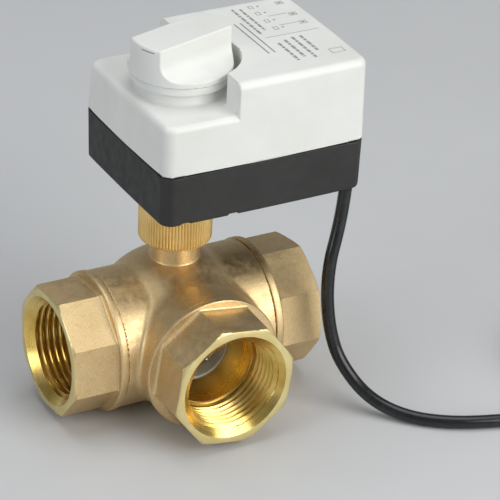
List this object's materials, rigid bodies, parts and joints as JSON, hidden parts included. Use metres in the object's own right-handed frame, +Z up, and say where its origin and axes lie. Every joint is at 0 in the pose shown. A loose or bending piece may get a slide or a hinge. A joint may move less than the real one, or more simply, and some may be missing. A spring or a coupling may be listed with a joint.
{
  "type": "motorised three-way ball valve",
  "caption": "Brass three-way ball valve with screwed octagonal female ends, a geared electric actuator, manual knob and free supply cable.",
  "frame": {"origin": "centre of the flat foot under the brass body, on the stem axis and on the standing surface", "axes": "+Z up the stem, +X along the run towards the right-hand port, under the raised deck of the actuator, -Y out of the common port"},
  "size_m": [0.2221, 0.1157, 0.1304],
  "materials": {
    "cast_brass": "sand-blasted cast brass",
    "machined_brass": "turned brass",
    "chromed_brass": "polished chrome plate",
    "steel": "zinc-plated or bare steel",
    "ptfe": "waxy white fluoropolymer",
    "seal_rubber": "matt black elastomer",
    "white_plastic": "satin moulded plastic",
    "black_plastic": "fine-textured dark moulded plastic",
    "gear_plastic": "natural nylon or acetal",
    "board_green": "solder-masked glass-epoxy board",
    "component_blue": "glossy epoxy dip",
    "cable_black": "semi-gloss PVC sheath",
    "wire_brown": "PVC core insulation",
    "wire_blue": "PVC core insulation",
    "wire_yellow": "PVC core insulation"
  },
  "bodies": {
    "valve": {"valve_body": "cast_brass", "end_connector_left": "cast_brass", "end_connector_right": "cast_brass", "end_connector_front": "cast_brass", "connector_oring_left": "seal_rubber", "connector_oring_right": "seal_rubber", "connector_oring_front": "seal_rubber", "ball_seat_left": "ptfe", "ball_seat_right": "ptfe", "ball_seat_front": "ptfe", "ball_seat_rear": "ptfe", "stem_thrust_washer": "ptfe", "stem_oring_lower": "seal_rubber", "stem_oring_upper": "seal_rubber", "mounting_spigot": "steel", "base_housing": "black_plastic", "actuator_cover": "white_plastic", "cover_gasket": "seal_rubber", "cover_screw_1": "steel", "cover_screw_2": "steel", "cover_screw_3": "steel", "cover_screw_4": "steel", "low_gear_axle": "steel", "mid_gear_axle": "steel", "bearing_plate": "steel", "plate_pillar_1": "steel", "plate_pillar_2": "steel", "plate_pillar_3": "steel", "plate_pillar_4": "steel", "motor_can": "steel", "open_switch": "black_plastic", "closed_switch": "black_plastic", "circuit_board": "board_green", "film_capacitor": "component_blue", "terminal_block": "black_plastic", "relay": "black_plastic", "cable_grommet": "black_plastic", "power_cable": "cable_black", "cable_coil": "cable_black", "core_live": "wire_brown", "core_neutral": "wire_blue", "core_signal": "wire_yellow"},
    "output": {"valve_ball": "chromed_brass", "valve_stem": "machined_brass", "output_shaft": "steel", "output_gear": "gear_plastic", "open_cam": "gear_plastic", "closed_cam": "gear_plastic", "knob_collar": "white_plastic", "manual_knob": "white_plastic"},
    "low_gear": {"low_speed_gear": "gear_plastic"},
    "mid_gear": {"mid_speed_gear": "gear_plastic"},
    "motor_rotor": {"motor_pinion": "machined_brass"},
    "union_nut": {"coupling_nut": "machined_brass"},
    "open_lever": {"open_switch_lever": "steel"},
    "closed_lever": {"closed_switch_lever": "steel"}
  },
  "joints": [
    {"name": "valve_turn", "type": "hinge", "parent": "valve", "child": "output", "pos_m": [0, 0, 0.1], "axis": [0, 0, 1], "range_deg": [-16, 74]},
    {"name": "low_gear_turn", "type": "hinge", "parent": "valve", "child": "low_gear", "pos_m": [0.0195, 0, 0.085], "axis": [0, 0, 1], "range_deg": [-167, 37]},
    {"name": "mid_gear_turn", "type": "hinge", "parent": "valve", "child": "mid_gear", "pos_m": [0.03547, 0.00581, 0.09], "axis": [0, 0, 1], "range_deg": [-67, 306]},
    {"name": "motor_turn", "type": "hinge", "parent": "valve", "child": "motor_rotor", "pos_m": [0.03696, -0.01112, 0.095], "axis": [0, 0, 1], "range_deg": [-560, 122]},
    {"name": "union_nut_turn", "type": "hinge", "parent": "valve", "child": "union_nut", "pos_m": [0, 0, 0.065], "axis": [0, 0, 1], "continuous": true},
    {"name": "open_lever_press", "type": "hinge", "parent": "valve", "child": "open_lever", "pos_m": [-0.0061, -0.0093, 0.098], "axis": [0, 0, -1], "range_deg": [0, 5], "stiffness_Nm_per_rad": 0.01},
    {"name": "closed_lever_press", "type": "hinge", "parent": "valve", "child": "closed_lever", "pos_m": [-0.0061, 0.0093, 0.104], "axis": [0, 0, 1], "range_deg": [0, 5], "stiffness_Nm_per_rad": 0.01}
  ],
  "couplings": [
    {"joint": "low_gear_turn", "follows": "valve_turn", "ratio": -2.25},
    {"joint": "mid_gear_turn", "follows": "valve_turn", "ratio": 4.125},
    {"joint": "motor_turn", "follows": "valve_turn", "ratio": -7.5625}
  ]
}
